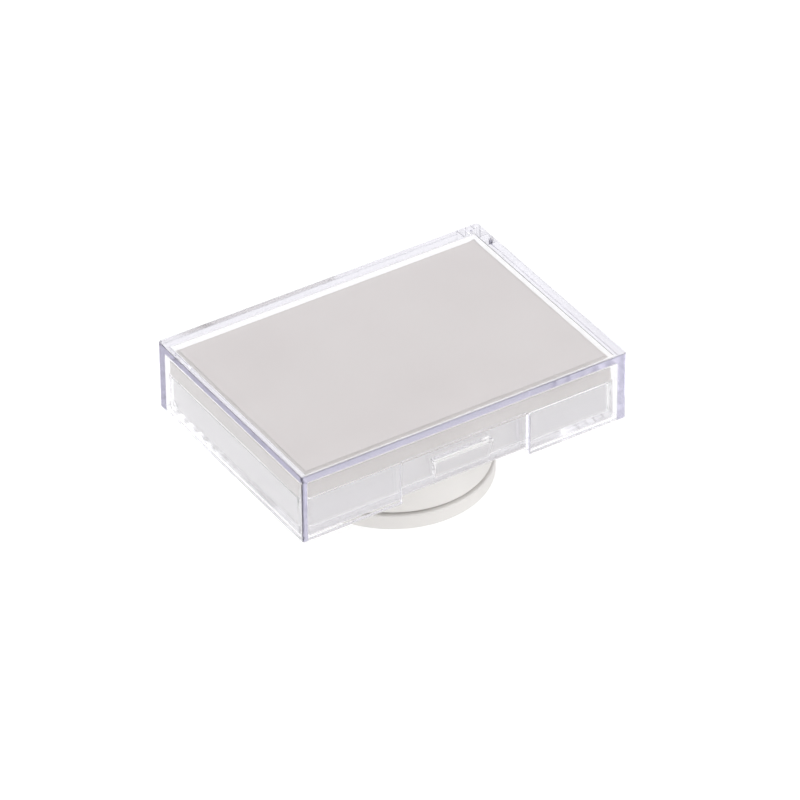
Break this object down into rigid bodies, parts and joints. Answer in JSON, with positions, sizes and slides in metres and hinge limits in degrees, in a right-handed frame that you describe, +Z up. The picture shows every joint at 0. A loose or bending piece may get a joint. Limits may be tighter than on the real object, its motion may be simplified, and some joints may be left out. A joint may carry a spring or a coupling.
{
  "type": "wet palette",
  "caption": "Small hand-held wet palette: clear hinged box with a thumb tab, filled by a wet sponge under palette paper, on a round swivel foot.",
  "frame": {"origin": "on the table, under the middle of the round foot", "axes": "+Z up, +X along the box's long side, -Y towards the thumb tab, +Y towards the hinge"},
  "size_m": [0.076, 0.0544, 0.0302],
  "materials": {
    "clear_lid": "clear polished moulding, faint lavender in its edges",
    "clear_tray": "clear polished moulding, faint lavender in its edges",
    "wet_sponge": "fine open-cell sponge, damp, knife-cut edges",
    "palette_paper": "smooth damp translucent paper, slightly satin",
    "foam_tape": "white foam mounting tape",
    "white_plastic": "warm white, fine satin moulding",
    "screw_steel": "zinc-plated",
    "washer_steel": "stamped, zinc-plated",
    "slip_plastic": "waxy low-friction plastic",
    "grip_rubber": "soft grey non-slip pad"
  },
  "bodies": {
    "base": {"foot_base": "white_plastic", "grip_pad": "grip_rubber", "slip_ring": "slip_plastic"},
    "tray": {"tray": "clear_tray", "sponge": "wet_sponge", "palette_paper": "palette_paper", "adhesive_pad": "foam_tape", "foot_drum": "white_plastic", "pivot_screw": "screw_steel", "retaining_washer": "washer_steel"},
    "lid": {"lid": "clear_lid"}
  },
  "joints": [
    {"name": "foot_swivel", "type": "hinge", "parent": "base", "child": "tray", "pos_m": [0, 0, 0.005], "axis": [0, 0, 1], "continuous": true},
    {"name": "lid_hinge", "type": "hinge", "parent": "tray", "child": "lid", "pos_m": [0, 0.02305, 0.0166], "axis": [-1, 0, 0], "range_deg": [0, 90]}
  ]
}
